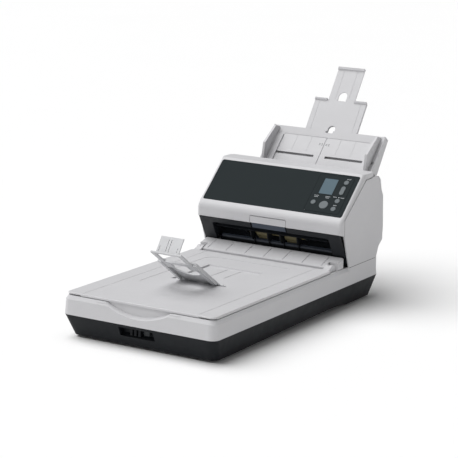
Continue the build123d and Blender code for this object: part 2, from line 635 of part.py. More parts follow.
def gear(teeth, x, centre, width, phase):
    """Spur gear of module 1, its first tooth at phase degrees."""
    pitch = teeth / 2
    shape = tooth(pitch, pitch - 1.15, pitch + 0.8)
    with BuildSketch() as sketch:
        Circle(pitch - 1.15)
        with PolarLocations(0, teeth, start_angle=phase):
            add(shape)
    plane = side(x)
    plane.origin = plane.from_local_coords((*centre, 0))
    return extrude(plane * sketch.sketch, amount=width)


def polar(radius, angle):
    return (radius * cos(radians(angle)), radius * sin(radians(angle)))


def make_drive():
    motor = motor_centre()
    with BuildPart() as motor_gear:
        add(gear(MOTOR_TEETH, GEAR_X, motor, 3.5, MOTOR_LEAN + 180 + 180 / MOTOR_TEETH))
        extrude(disc(side(130), motor, radius=2), amount=16)
    save(motor_gear.part, "motor_gear")
    with BuildPart() as feed_motor:
        extrude(disc(side(104), motor, radius=15), amount=34.8)
        extrude(disc(side(129), motor, radius=2 + PIN_CLEAR), amount=12, mode=Mode.SUBTRACT)
    save(feed_motor.part, "feed_motor")
    first, second, third = [path_point(*shaft[:2]) for shaft in LOWER_SHAFTS.values()]
    with BuildPart() as drive_belt:
        for radius, mode in ((BELT_PULLEY_R + 1.3, Mode.ADD), (BELT_PULLEY_R + 0.3, Mode.SUBTRACT)):
            with BuildSketch(side(-146.6)):
                for start, end in ((first, second), (second, third)):
                    run = Vector(end[0] - start[0], end[1] - start[1])
                    middle = ((start[0] + end[0]) / 2, (start[1] + end[1]) / 2, 0)
                    with Locations(Location(middle, (0, 0, degrees(asin(run.Y / run.length))))):
                        SlotCenterToCenter(run.length, 2 * radius)
            extrude(amount=3.6, mode=mode)
    save(drive_belt.part, "drive_belt")


def pocket(t, x, height):
    """Box through the guides beside the paper path: t[0] to t[1] along it, x[0] to x[1] across it."""
    return extrude(rect(path(height[0]), x, t), amount=height[1] - height[0], mode=Mode.PRIVATE)


SENSOR_T = (24.0, 46.0)
SENSOR_X = 118.0


def make_lower_guide():
    with BuildPart() as lower_guide:
        body = [(-2, -0.8), (135, -0.8), (135, -5), (112, -14), (-2, -14)]
        extrude(outline(across(PATH_FOOT, PATH_SLOPE, -137), *body), amount=274)
        for t, height, radius, tyres, _ in LOWER_SHAFTS.values():
            for low, high in tyres:
                add(pocket((t - radius - 1, t + radius + 1), (low - 3, high + 3), (-30, 2)), mode=Mode.SUBTRACT)
            extrude(disc(side(-140), path_point(t, height), radius=SHAFT_R + 0.4), amount=280,
                    mode=Mode.SUBTRACT)
        add(pocket(SENSOR_T, (-SENSOR_X - 1, SENSOR_X + 1), (-30, 2)), mode=Mode.SUBTRACT)
        for x in (-120, -60, 0, 60, 120):
            rib = [(48, -0.8), (51, -0.3), (110, -0.3), (114, -0.8)]
            extrude(outline(across(PATH_FOOT, PATH_SLOPE, x - 0.75), *rib), amount=1.5)
    save(lower_guide.part, "lower_guide")


def make_exit():
    with BuildPart() as exit_sill:
        foot = [(437.8, 92.9), (448.8, RIM_Z + 0.3), (452.2, RIM_Z + 0.3), (440.9, 94.2)]
        bar = [(441, 87), (448.8, RIM_Z + 0.3), (452.2, RIM_Z + 0.3), (445.4, 87)]
        floor = [(441, 87), (459, 87), (459, 85), (443, 85)]
        for low, high in span(121, 147):
            extrude(outline(side(low), *foot), amount=high - low)
        extrude(outline(side(-121), *bar), amount=242)
        extrude(outline(side(-137), *floor), amount=274)
        extrude(rect(side(-118), (449.5, 456), (87, 95.3)), amount=236)
        for x in (-46, -15.3, 15.3, 46):
            extrude(rect(side(x - 0.8), (446.5, 449.5), (86.5, 103.5)), amount=1.6)
    save(exit_sill.part, "exit_sill")
    with BuildPart() as exit_guide:
        strip = [(449.6, 95.4), (449.6, 98.5), (453, 101.2), (455.4, 99.5), (456, 95.4)]
        extrude(outline(side(-118), *strip), amount=236)
    save(exit_guide.part, "exit_guide")


def make_sensors():
    for name, sign in (("lower_image_sensor", -1), ("upper_image_sensor", 1)):
        near, far = (-15.0, -1.0) if sign < 0 else (1.0, 15.0)
        with BuildPart() as sensor:
            add(pocket((SENSOR_T[0] + 0.5, SENSOR_T[1] - 0.5), (-SENSOR_X, SENSOR_X), (near, far)))
        save(sensor.part, name)


# ---------------------------------------------------------------- lifting cover

LIP_Y = 412.0
TAB_X = 37.0
TAB_TOP = 150.2
TAB_AXIS = (416.6, 150.0)
BEZEL_X = (64.5, 135.0)
BEZEL_S = (6.0, 90.0)
LCD_X = (78.0, 105.0)
LCD_S = (46.5, 81.0)
# centre on the panel and diameter of the round buttons
BUTTONS = {
    "button_menu": (122.3, 76.6, 9.5),
    "button_enter": (121.5, 34.5, 9.5),
    "button_stop": (120.6, 16.8, 9.5),
    "button_power": (76.4, 26.1, 9.5),
    "button_scan": (98.8, 22.7, 17.0),
}
ROCKER = (121.8, 58.1, 8.0, 19.0)


def make_front_cover():
    with BuildPart() as front_cover:
        with BuildSketch(side(-HALF)):
            with BuildLine():
                Polyline((424, 134), (LIP_Y, 138), (LIP_Y, 159.2), (494.9, 234), (527.5, 234), (525, 225.6),
                         (500, 224.9), (423, 164.3), (424, 134))
            make_face()
            lip = vertices().filter_by_position(Axis.Y, 159, 160)
            ridge = vertices().filter_by_position(Axis.X, 494, 496)
            fillet(lip, 16)
            fillet(ridge, 20)
        extrude(amount=2 * HALF)
        outer = [e for e in front_cover.edges()
                 if abs(abs(e.center().X) - HALF) < 0.01 and outside_seam(e.center())]
        fillet(outer, 6.5)
        inside = [(LIP_Y + 2.8, 100), (LIP_Y + 2.8, 156.5), (424.5, 163.8), (493.9, 226.4), (498.5, 231.4),
                  (535, 231.4), (535, 100)]
        extrude(outline(side(-146.3), *inside), amount=292.6, mode=Mode.SUBTRACT)
        # rounded rear edge that turns round the hinge
        with BuildSketch(side(-146.3)):
            with BuildLine():
                barrel = CenterArc(COVER_AXIS, BARREL_R, -20, 110)
                inner = CenterArc(COVER_AXIS, BARREL_R - 2.6, -20, 110)
                Line(barrel @ 0, inner @ 0)
                Polyline(barrel @ 1, (524, 234), (524, 231.4), inner @ 1)
            make_face()
        extrude(amount=292.6)
        for low, high in span(142.4, 145.4):
            extrude(disc(side(low), COVER_AXIS, radius=BARREL_R - 2.5), amount=high - low)
        hinge = disc(side(-160), COVER_AXIS, radius=3 + PIN_CLEAR)
        extrude(hinge, amount=320, mode=Mode.SUBTRACT)
        extrude(rect(panel(-2), (-PANEL_X, PANEL_X), (0, PANEL_LENGTH), 4), amount=6, mode=Mode.SUBTRACT)
        under = rect(panel(-9), (BEZEL_X[0] + 2, BEZEL_X[1] - 2), (BEZEL_S[0] + 2, BEZEL_S[1] - 2), 3)
        extrude(under, amount=9, mode=Mode.SUBTRACT)
        tab = rect(facing(LIP_Y + 4), (-TAB_X - 0.6, TAB_X + 0.6), (130, TAB_TOP + 1.4), 3)
        extrude(tab, amount=6, mode=Mode.SUBTRACT)
        for low, high in span(TAB_X + 0.8, TAB_X + 4):
            extrude(rect(side(low), (LIP_Y + 2, LIP_Y + 7.5), (146, 154)), amount=high - low)
        extrude(disc(side(-TAB_X - 2), TAB_AXIS, radius=1), amount=2 * TAB_X + 4)
    save(front_cover.part, "front_cover")


def outside_seam(point):
    """True for a point on the cover's outer faces, false for one on its seam with the side covers."""
    y, z = point.Y - FRONT, point.Z
    return z > 138.5 and (y < LIP_Y + 1 or z > PANEL_FOOT[1] + 0.9 * (y - PANEL_FOOT[0]) - 3) and y < 526


def make_panel():
    with BuildPart() as cover_panel:
        extrude(rect(panel(-1.9), (-PANEL_X + 0.4, PANEL_X - 0.4), (0.4, PANEL_LENGTH - 0.4), 3.6), amount=1.9)
        extrude(rect(panel(-3), BEZEL_X, BEZEL_S, 5), amount=6, mode=Mode.SUBTRACT)
    save(cover_panel.part, "cover_panel")
    with BuildPart() as operator_bezel:
        x = (BEZEL_X[0] + 0.5, BEZEL_X[1] - 0.5)
        s = (BEZEL_S[0] + 0.5, BEZEL_S[1] - 0.5)
        extrude(rect(panel(-1.9), x, s, 4.6), amount=2.1)
        extrude(rect(panel(-0.8), LCD_X, LCD_S, 1), amount=3, mode=Mode.SUBTRACT)
        for x, s, diameter in BUTTONS.values():
            extrude(disc(panel(-3), (x, s), radius=diameter / 2 + 0.2), amount=6, mode=Mode.SUBTRACT)
        with BuildSketch(panel(-3)):
            with Locations((ROCKER[0], ROCKER[1])):
                SlotOverall(ROCKER[3] + 0.4, ROCKER[2] + 0.4, rotation=90)
        extrude(amount=6, mode=Mode.SUBTRACT)
    save(operator_bezel.part, "operator_bezel")
    with BuildPart() as lcd_window:
        extrude(rect(panel(-0.8), (LCD_X[0] + 0.2, LCD_X[1] - 0.2), (LCD_S[0] + 0.2, LCD_S[1] - 0.2), 0.8),
                amount=0.9)
    save(lcd_window.part, "lcd_window")
    for name, (x, s, diameter) in BUTTONS.items():
        with BuildPart() as button:
            extrude(disc(panel(-3.4), (x, s), radius=diameter / 2), amount=4.4)
            chamfer(button.faces().sort_by(Axis.Z)[-1].edges(), 0.4)
            extrude(disc(panel(-3.4), (x, s), radius=diameter / 2 + 0.9), amount=1)
        save(button.part, name)
    with BuildPart() as rocker:
        for height, grow, thick in ((-3.4, 0, 4.4), (-3.4, 0.9, 1)):
            with BuildSketch(panel(height)):
                with Locations((ROCKER[0], ROCKER[1])):
                    SlotOverall(ROCKER[3] + 2 * grow, ROCKER[2] + 2 * grow, rotation=90)
            extrude(amount=thick)
    save(rocker.part, "button_select")


def make_release_tab():
    with BuildPart() as release_tab:
        extrude(rect(facing(LIP_Y + 2.6), (-TAB_X + 0.2, TAB_X - 0.2), (138.2, TAB_TOP), 1.2), amount=2.6)
        for low, high in span(28, TAB_X - 0.4):
            lug = [(LIP_Y + 2.6, 146), (LIP_Y + 2.6, TAB_TOP), (TAB_AXIS[0], 151.2), (TAB_AXIS[0] + 1.4, 149)]
            extrude(outline(side(low), *lug), amount=high - low)
            extrude(disc(side(low), TAB_AXIS, radius=1.6), amount=high - low)
        extrude(disc(side(-50), TAB_AXIS, radius=1 + PIN_CLEAR), amount=100, mode=Mode.SUBTRACT)
    save(release_tab.part, "release_tab")
    with BuildPart() as tab_grip:
        grip = [(LIP_Y + 0.9, 138.2), (LIP_Y + 2.6, 138.2), (420.6, 128.4), (418.4, 128)]
        extrude(outline(side(-TAB_X + 2.5), *grip), amount=2 * TAB_X - 5)
    save(tab_grip.part, "tab_grip")


def make_exit_frame():
    """Dark frame round the exit slot; it lifts with the cover, down to the sill."""
    with BuildPart() as exit_frame:
        slab = [(413.5, 136.6), (437.2, 93.6), (440, 95), (417, 136.6)]
        extrude(outline(side(-146), *slab), amount=292)
        opening = rect(facing(450), (-121, 121), (80, 127), 4)
        extrude(opening, amount=50, mode=Mode.SUBTRACT)
        notch = rect(facing(450), (-TAB_X - 0.3, TAB_X + 0.3), (127, 150))
        extrude(notch, amount=50, mode=Mode.SUBTRACT)
        for low, high in span(121, 124):
            cheek = [(421.5, 127.5), (439, 96), (448, 103.5), (434, 130)]
            extrude(outline(side(low), *cheek), amount=high - low)
    save(exit_frame.part, "exit_frame")


def make_upper_guide():
    with BuildPart() as upper_guide:
        body = [(-6, 21), (9, 15.5), (14, 9), (14.5, 1.0), (115, 1.0), (118, 4), (116, 26), (24, 30), (-9, 28)]
        extrude(outline(across(PATH_FOOT, PATH_SLOPE, -137), *body), amount=274)
        for low, high in span(120.5, 140):
            extrude(outline(across(PATH_FOOT, PATH_SLOPE, low), (-14, 0), (13.9, 0), (13.9, 40), (-14, 40)),
                    amount=high - low, mode=Mode.SUBTRACT)
        t, height, radius = UPPER_SHAFTS["brake_roller"][:3]
        brake = pocket((t - radius - 1.2, t + radius + 1.2), (-30, 30), (-5, height + radius + 1.5))
        add(brake, mode=Mode.SUBTRACT)
        add(pocket(SENSOR_T, (-SENSOR_X - 1, SENSOR_X + 1), (-5, 16)), mode=Mode.SUBTRACT)
        # fins that hold the eject idlers
        fin = [(-12, 2.8), (-8, 1.4), (8, 1.4), (10, 9), (12, 18), (-7, 23), (-12.5, 14)]
        for x in (-48.2, -13, 13, 48.2):
            extrude(outline(across(PATH_FOOT, PATH_SLOPE, x - 0.8), *fin), amount=1.6)
        for low, high in span(61, 64):
            extrude(outline(across(PATH_FOOT, PATH_SLOPE, low), (-1, 3), (7, 3), (10, 16), (-4, 21)),
                    amount=high - low)
        for t, height, *_ in UPPER_SHAFTS.values():
            extrude(disc(side(-62.3), path_point(t, height), radius=2 + PIN_CLEAR), amount=124.6,
                    mode=Mode.SUBTRACT)
        for i in range(23):
            x = -115.5 + 10.5 * i
            rib = [(-6, 21), (9, 15.5), (8.4, 14.2), (-6.4, 19.4)]
            if not 12 < abs(x) < 50:
                extrude(outline(across(PATH_FOOT, PATH_SLOPE, x - 0.6), *rib), amount=1.2)
    save(upper_guide.part, "upper_guide")


# ---------------------------------------------------------------- chute

SLOT_S = (GUIDE_S - 2.4, GUIDE_S + 2.8)
STEM_X = (93.0, 107.0)


def make_chute():
    """Chute with a flatter bed between the side guides and a channel for the extensions behind it."""
    with BuildPart() as chute_body:
        fall = polar(BED_LENGTH, BED_ANGLE)
        end = (BED_TOP[0] - fall[0], BED_TOP[1] - fall[1])
        back = (CHUTE_T * sin(radians(CHUTE_ANGLE)), CHUTE_T * cos(radians(CHUTE_ANGLE)))
        profile = [CHUTE_TOP, BED_TOP, end, (end[0] + 7, end[1] - 5.8), (604, 213.1),
                   (CHUTE_TOP[0] + back[0], CHUTE_TOP[1] - back[1])]
        extrude(outline(side(-CHUTE_X), *profile), amount=2 * CHUTE_X)
        for low, high in span(CHUTE_X - 2, CHUTE_X):
            extrude(rect(chute(-3), (low, high), (-15, 0)), amount=5.5)
            extrude(rect(bed(-3), (low, high), (-76, 1)), amount=5.5)
        channel = rect(chute(-CHUTE_T + 1.9), (-EXT1_X - 0.4, EXT1_X + 0.4), (-79, 5))
        extrude(channel, amount=CHUTE_T - 1.9 + EXT1_FRONT + 0.3, mode=Mode.SUBTRACT)
        extrude(rect(chute(-20), (-8, 8), (-5, 4), 2), amount=30, mode=Mode.SUBTRACT)
        racks = rect(bed(-5.3), (-113, 113), (GUIDE_S - 11.5, GUIDE_S + 11.5))
        extrude(racks, amount=5.3 - SKIN, mode=Mode.SUBTRACT)
        for low, high in span(12, 114):
            extrude(rect(bed(-SKIN - 1), (low, high), SLOT_S), amount=6, mode=Mode.SUBTRACT)
        extrude(rect(bed(-0.6), (-91, 91), (-66, 0)), amount=4, mode=Mode.SUBTRACT)
        extrude(rect(bed(-1.6), (-0.9, 0.9), (-64, 0)), amount=4, mode=Mode.SUBTRACT)
        for x in (-62, -31, 31, 62):
            extrude(rect(bed(-0.9), (x - 0.3, x + 0.3), (-36, -1)), amount=1, mode=Mode.SUBTRACT)
        extrude(disc(bed(-5.1), (0, GUIDE_S), radius=2 - PIN_CLEAR), amount=5.2 - SKIN)
        # hollows at the back and hooks behind the rear cover's upper edge
        for low, high in span(62, 114):
            hollow = rect(chute(-CHUTE_T - 1), (low, high), (-40, -4), 3)
            extrude(hollow, amount=CHUTE_T - 3, mode=Mode.SUBTRACT)
        for low, high in span(100, 116):
            extrude(rect(side(low), (569.4, 570.9), (177, 196)), amount=high - low)
    save(chute_body.part, "chute")


def rack(direction):
    """Rack of a side guide: direction is 1 for the right guide's, below the pinion, -1 for the left's."""
    pitch = GUIDE_S - direction * PINION_TEETH / 2
    back = pitch - direction * 5
    root = pitch - direction * 1.15
    tip = pitch + direction * 0.8
    last = STEM_X[1] * direction
    teeth = [i * pi * direction for i in range(-4, 34)]
    points = [(teeth[0] - 2 * direction, back), (teeth[0] - 2 * direction, root)]
    for x in teeth:
        for offset, s in ((-0.95, root), (-0.6, pitch), (-0.3, tip), (0.3, tip), (0.6, pitch), (0.95, root)):
            points.append((x + offset * direction, s))
    points += [(last, root), (last, back)]
    return outline(bed(-5.0), *points)


def make_side_guides():
    for name, direction in (("side_guide_right", 1), ("side_guide_left", -1)):
        with BuildPart() as guide:
            wing = [(-3, 0.3), (-7.5, 15), (-53, 32.5), (-80.5, 20.5), (-87, 17), (-87, 12.5), (-15, 0.5)]
            low, high = sorted((105.5 * direction, 110 * direction))
            extrude(outline(across(CHUTE_TOP, CHUTE_ANGLE, low), *wing), amount=high - low)
            foot = sorted((92 * direction, 110 * direction))
            extrude(rect(bed(0.3), foot, (-73, -3)), amount=1.7)
            stem = sorted((STEM_X[0] * direction, STEM_X[1] * direction))
            extrude(rect(bed(-5.0), stem, (SLOT_S[0] + 0.4, SLOT_S[1] - 0.4)), amount=6)
            extrude(rack(direction), amount=3)
            link = sorted((GUIDE_S, GUIDE_S - direction * 10))
            extrude(rect(bed(-5.0), stem, link), amount=3)
        save(guide.part, name)


def make_guide_pinion():
    pitch = PINION_TEETH / 2
    shape = tooth(pitch, pitch - 1.15, pitch + 0.75)
    with BuildPart() as guide_pinion:
        with BuildSketch(bed(-4.9)):
            with Locations((0, GUIDE_S)):
                Circle(pitch - 1.15)
                with PolarLocations(0, PINION_TEETH, start_angle=-90 + 180 / PINION_TEETH):
                    add(shape)
                Circle(2, mode=Mode.SUBTRACT)
        extrude(amount=2.8)
    save(guide_pinion.part, "guide_pinion")


def arch(plane, half, low, high):
    """Finger hole with a round top."""
    with BuildSketch(plane) as sketch:
        with BuildLine():
            Polyline((-half, high - half), (-half, low), (half, low), (half, high - half))
            ThreePointArc((half, high - half), (0, high), (-half, high - half))
        make_face()
    return sketch.sketch


def make_extensions():
    with BuildPart() as extension_1:
        extrude(rect(chute(EXT1_FRONT - EXT1_T), (-EXT1_X, EXT1_X), (-20, EXT1_TOP - 3)), amount=EXT1_T)
        inner = rect(chute(EXT1_FRONT - EXT1_T + 0.8), (-EXT2_X - 0.4, EXT2_X + 0.4), (-13, EXT1_TOP + 5))
        extrude(inner, amount=2.6, mode=Mode.SUBTRACT)
        extrude(arch(chute(-20), 7.6, -11, 13), amount=20, mode=Mode.SUBTRACT)
        for x in (-44, 44):
            groove = rect(chute(EXT1_FRONT - 0.4), (x - 0.3, x + 0.3), (2, EXT1_TOP - 7))
            extrude(groove, amount=1, mode=Mode.SUBTRACT)
        for low, high in span(EXT2_X + 0.8, EXT1_X):
            lip = across(CHUTE_TOP, CHUTE_ANGLE, low)
            extrude(outline(lip, (EXT1_TOP - 6, EXT1_FRONT - 0.5), (EXT1_TOP - 4, EXT1_FRONT + 2.2),
                            (EXT1_TOP - 1, EXT1_FRONT + 3), (EXT1_TOP, EXT1_FRONT + 1.5),
                            (EXT1_TOP - 1, EXT1_FRONT - 2), (EXT1_TOP - 4, EXT1_FRONT - EXT1_T),
                            (EXT1_TOP - 6, EXT1_FRONT - EXT1_T)), amount=high - low)
    save(extension_1.part, "chute_extension_1")
    with BuildPart() as extension_2:
        front = EXT1_FRONT - EXT1_T + 3.1
        extrude(rect(chute(front - 2), (-EXT2_X, EXT2_X), (49, EXT2_TOP - 3)), amount=2)
        extrude(arch(chute(-20), 8.8, 56, 85), amount=20, mode=Mode.SUBTRACT)
        for x in (-14, 14):
            groove = rect(chute(front - 0.4), (x - 0.3, x + 0.3), (EXT1_TOP + 2, EXT2_TOP - 8))
            extrude(groove, amount=1, mode=Mode.SUBTRACT)
        lip = across(CHUTE_TOP, CHUTE_ANGLE, -EXT2_X)
        extrude(outline(lip, (EXT2_TOP - 7, front - 0.4), (EXT2_TOP - 5, front + 2.6),
                        (EXT2_TOP - 1.5, front + 3.4), (EXT2_TOP, front + 1.8), (EXT2_TOP - 1.5, front - 2),
                        (EXT2_TOP - 7, front - 2)), amount=2 * EXT2_X)
    save(extension_2.part, "chute_extension_2")


make_base_tray()
make_feet()
make_front_bay()
make_lock_switch()
make_base_cover()
make_casing_screws()
make_flatbed_glass()
make_ramp_cover()
make_hinge_pins()
make_flatbed_lid()
make_backing_pad()
make_carriage()
make_guide_rod()
make_belt_drive()
make_electronics()
make_stacker()
make_side_covers()
make_rear_cover()
make_side_frames()
make_rollers()
make_drive()
make_lower_guide()
make_exit()
make_sensors()
make_front_cover()
make_panel()
make_release_tab()
make_exit_frame()
make_upper_guide()
make_chute()
make_side_guides()
make_guide_pinion()
make_extensions()
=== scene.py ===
import json

import bpy
from math import cos, pi, radians, sin
from mathutils import Matrix, Vector


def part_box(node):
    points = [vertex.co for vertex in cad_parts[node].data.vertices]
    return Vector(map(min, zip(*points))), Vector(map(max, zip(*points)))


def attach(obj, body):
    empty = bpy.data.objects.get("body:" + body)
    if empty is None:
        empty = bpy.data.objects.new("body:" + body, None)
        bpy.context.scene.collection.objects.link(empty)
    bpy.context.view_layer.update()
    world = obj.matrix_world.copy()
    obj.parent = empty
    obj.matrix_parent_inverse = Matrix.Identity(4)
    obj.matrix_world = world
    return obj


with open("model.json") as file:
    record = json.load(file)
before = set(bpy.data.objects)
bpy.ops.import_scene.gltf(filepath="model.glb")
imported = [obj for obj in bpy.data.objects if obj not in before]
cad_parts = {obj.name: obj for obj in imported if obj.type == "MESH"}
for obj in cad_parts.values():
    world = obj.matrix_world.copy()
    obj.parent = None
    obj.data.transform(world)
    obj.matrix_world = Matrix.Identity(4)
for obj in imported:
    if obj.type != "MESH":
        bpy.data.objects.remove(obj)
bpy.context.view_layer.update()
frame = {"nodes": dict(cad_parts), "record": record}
nodes = frame["nodes"]
scene = bpy.context.scene

# ---------------------------------------------------------------- frame of the CAD model

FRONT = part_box("base_cover")[0].y     # front edge of the flatbed unit
MM = 0.001


def at(x, y, z):
    """Point from millimetres: x from the middle, y from the front edge, z from the table."""
    return Vector((x * MM, FRONT + y * MM, z * MM))


def tilted(foot, angle):
    """Places points on a plane rising to the rear from foot: x across it, s up it, h above it."""
    c, s = cos(radians(angle)), sin(radians(angle))

    def place(x, along, height):
        return at(x, foot[0] + along * c - height * s, foot[1] + along * s + height * c)
    return place


panel = tilted((421.2, 167.5), 42.05)
bed = tilted((626.0, 267.1), 46.0)


# ---------------------------------------------------------------- materials

class Mat:
    """A node material on one Principled shader."""

    def __init__(self, name, color, rough=0.5, metallic=0.0, **sockets):
        self.m = bpy.data.materials.new(name)
        self.m.use_nodes = True
        self.t = self.m.node_tree
        self.t.nodes.clear()
        self.out = self.t.nodes.new("ShaderNodeOutputMaterial")
        self.p = self.t.nodes.new("ShaderNodeBsdfPrincipled")
        self.t.links.new(self.p.outputs[0], self.out.inputs[0])
        self.color = tuple(color) + (1.0,)
        self.p.inputs["Base Color"].default_value = self.color
        self.p.inputs["Roughness"].default_value = rough
        self.p.inputs["Metallic"].default_value = metallic
        for key, value in sockets.items():
            self.p.inputs[key.replace("_", " ")].default_value = value
        self.rough = rough
        self.coord = self.t.nodes.new("ShaderNodeTexCoord").outputs["Object"]
        self.height = None

    def node(self, kind, **values):
        n = self.t.nodes.new(kind)
        for key, value in values.items():
            if hasattr(n, key):
                setattr(n, key, value)
            else:
                n.inputs[key.replace("_", " ")].default_value = value
        return n

    def link(self, a, b):
        self.t.links.new(a, b)
        return self

    def noise(self, scale, detail=3.0, rough=0.5, stretch=(1, 1, 1)):
        mapping = self.node("ShaderNodeMapping")
        mapping.inputs["Scale"].default_value = stretch
        self.link(self.coord, mapping.inputs[0])
        n = self.node("ShaderNodeTexNoise", Scale=scale, Detail=detail, Roughness=rough)
        self.link(mapping.outputs[0], n.inputs["Vector"])
        return n.outputs["Fac"]

    def ramp(self, fac, low, high, a=0.0, b=1.0):
        n = self.node("ShaderNodeMapRange")
        n.inputs["From Min"].default_value = a
        n.inputs["From Max"].default_value = b
        n.inputs["To Min"].default_value = low
        n.inputs["To Max"].default_value = high
        self.link(fac, n.inputs["Value"])
        return n.outputs["Result"]

    def tint(self, fac, low=0.94, high=1.05):
        """Base colour times a factor between low and high."""
        mix = self.node("ShaderNodeMix", data_type="RGBA")
        mix.inputs["A"].default_value = tuple(c * low for c in self.color[:3]) + (1,)
        mix.inputs["B"].default_value = tuple(min(1, c * high) for c in self.color[:3]) + (1,)
        self.link(fac, mix.inputs["Factor"])
        self.link(mix.outputs["Result"], self.p.inputs["Base Color"])
        return self

    def roughen(self, fac, spread):
        self.link(self.ramp(fac, self.rough - spread, self.rough + spread, 0.3, 0.7),
                  self.p.inputs["Roughness"])
        return self

    def bump(self, fac, distance, strength=1.0):
        b = self.node("ShaderNodeBump")
        b.inputs["Distance"].default_value = distance
        b.inputs["Strength"].default_value = strength
        self.link(fac, b.inputs["Height"])
        if self.height is not None:
            self.link(self.height, b.inputs["Normal"])
        self.height = b.outputs[0]
        self.link(self.height, self.p.inputs["Normal"])
        return self


def moulded(name, color, rough=0.42, grain=1400.0, depth=0.00003, spread=0.05, **sockets):
    """Injection-moulded plastic with a fine spark-eroded grain and faint unevenness."""
    m = Mat(name, color, rough, **sockets)
    m.tint(m.noise(18, 4), 0.97, 1.03)
    m.roughen(m.noise(60, 3), spread)
    m.bump(m.noise(grain, 2, 0.6), depth, 0.35)
    return m.m


def painted_steel(name, color, rough=0.4):
    m = Mat(name, color, rough, 0.6)
    m.tint(m.noise(30, 4), 0.9, 1.08)
    m.roughen(m.noise(200, 3), 0.06)
    m.bump(m.noise(900, 2), 0.00002, 0.4)
    return m.m


def brushed(name, color, rough=0.35):
    m = Mat(name, color, rough, 1.0)
    m.tint(m.noise(50, 5, 0.6, (1, 8, 8)), 0.85, 1.08)
    m.bump(m.noise(1500, 2, 0.5, (1, 12, 12)), 0.00001, 0.5)
    return m.m


def rubber(name, color, rough=0.75):
    m = Mat(name, color, rough)
    m.tint(m.noise(70, 4), 0.85, 1.12)
    m.roughen(m.noise(150, 3), 0.08)
    m.bump(m.noise(2200, 2, 0.7), 0.00004, 0.5)
    return m.m


WHITE = (0.575, 0.573, 0.588)
mats = {
    "casing_white": moulded("casing_white", WHITE, 0.5, Specular_IOR_Level=0.35),
    "base_dark": moulded("base_dark", (0.009, 0.0105, 0.013), 0.5, 1100, 0.00004, Specular_IOR_Level=0.16),
    "frame_dark": moulded("frame_dark", (0.012, 0.014, 0.017), 0.45, Specular_IOR_Level=0.25),
    "grip_blue": moulded("grip_blue", (0.05, 0.065, 0.09), 0.4, Specular_IOR_Level=0.4),
    "guide_blue": moulded("guide_blue", (0.06, 0.072, 0.095), 0.35, Specular_IOR_Level=0.5),
    "stacker_grey": moulded("stacker_white", (0.57, 0.575, 0.588), 0.46, Specular_IOR_Level=0.35),
    "panel_charcoal": moulded("panel_charcoal", (0.0165, 0.0225, 0.0245), 0.6, 1600, 0.000008, 0.01,
                              Specular_IOR_Level=0.06),
    "button_grey": moulded("button_grey", (0.125, 0.145, 0.155), 0.5, Specular_IOR_Level=0.2),
    "button_large": moulded("button_large", (0.135, 0.155, 0.165), 0.5, Specular_IOR_Level=0.2),
    "switch_grey": moulded("switch_grey", (0.03, 0.034, 0.038), 0.45, Specular_IOR_Level=0.3),
    "rubber_black": rubber("rubber_black", (0.012, 0.012, 0.013)),
    "roller_rubber": rubber("roller_rubber", (0.17, 0.145, 0.07), 0.6),
    "pad_white": moulded("pad_white", (0.75, 0.75, 0.74), 0.6),
    "steel": brushed("steel", (0.50, 0.50, 0.51)),
    "motor_steel": painted_steel("motor_steel", (0.06, 0.06, 0.065)),
    "gear_plastic": moulded("gear_plastic", (0.58, 0.56, 0.49), 0.4),
    "inner_black": moulded("inner_black", (0.02, 0.02, 0.022), 0.5),
    "board_green": moulded("board_green", (0.01, 0.07, 0.03), 0.35),
    "port_black": moulded("port_black", (0.012, 0.012, 0.013), 0.35),
}


def display_glass():
    m = Mat("lcd", (0.083, 0.13, 0.16), 0.45, Specular_IOR_Level=0.12)
    m.tint(m.noise(40, 3), 0.94, 1.05)
    m.bump(m.noise(500, 2), 0.000004, 0.3)
    return m.m


def plate_glass():
    m = Mat("scan_glass", (0.75, 0.82, 0.80), 0.03, Transmission_Weight=0.85, IOR=1.5)
    m.roughen(m.noise(12, 3), 0.01)
    return m.m


mats["lcd"] = display_glass()
mats["scan_glass"] = plate_glass()

for entry in frame["record"]["subparts"]:
    obj = nodes[entry["node"]]
    obj.data.materials.clear()
    obj.data.materials.append(mats[entry["material_slot"]])

# ---------------------------------------------------------------- edges of the moulded pieces

for name, obj in nodes.items():
    for polygon in obj.data.polygons:
        polygon.use_smooth = True
    obj.data.set_sharp_from_angle(angle=radians(28))

# ---------------------------------------------------------------- printed marks and painted shadow lines of the parting gaps

def print_ink(name, color):
    m = Mat(name, color, 0.55)
    m.tint(m.noise(400, 3), 0.85, 1.1)
    return m.m


def piece(name, verts, faces, material, body=None):
    """Mesh object of one material; it rides on body when one is given."""
    mesh = bpy.data.meshes.new(name)
    mesh.from_pydata([tuple(v) for v in verts], [], faces)
    mesh.materials.append(material)
    obj = bpy.data.objects.new(name, mesh)
    scene.collection.objects.link(obj)
    if body is not None:
        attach(obj, body)
    return obj


def marks(name, material, body, place, bars, base, lift=0.06):
    """Thin printed bars with round ends; each bar is (x, s, length, width, angle) on the plane of place."""
    verts, faces = [], []
    for x, s, length, width, angle in bars:
        radius, half = width / 2, max(length - width, 0) / 2
        turn = radians(angle)
        first = len(verts)
        ring = []
        for end, start in ((half, -pi / 2), (-half, pi / 2)):
            for i in range(5):
                a = start + i * pi / 4
                ring.append((end + radius * cos(a), radius * sin(a)))
        for height in (base, base + lift):
            for u, v in ring:
                verts.append(place(x + u * cos(turn) - v * sin(turn),
                                   s + u * sin(turn) + v * cos(turn), height))
        n = len(ring)
        faces.append([first + i for i in reversed(range(n))])
        faces.append([first + n + i for i in range(n)])
        faces += [[first + i, first + (i + 1) % n, first + n + (i + 1) % n, first + n + i] for i in range(n)]
    piece(name, verts, faces, material, body)


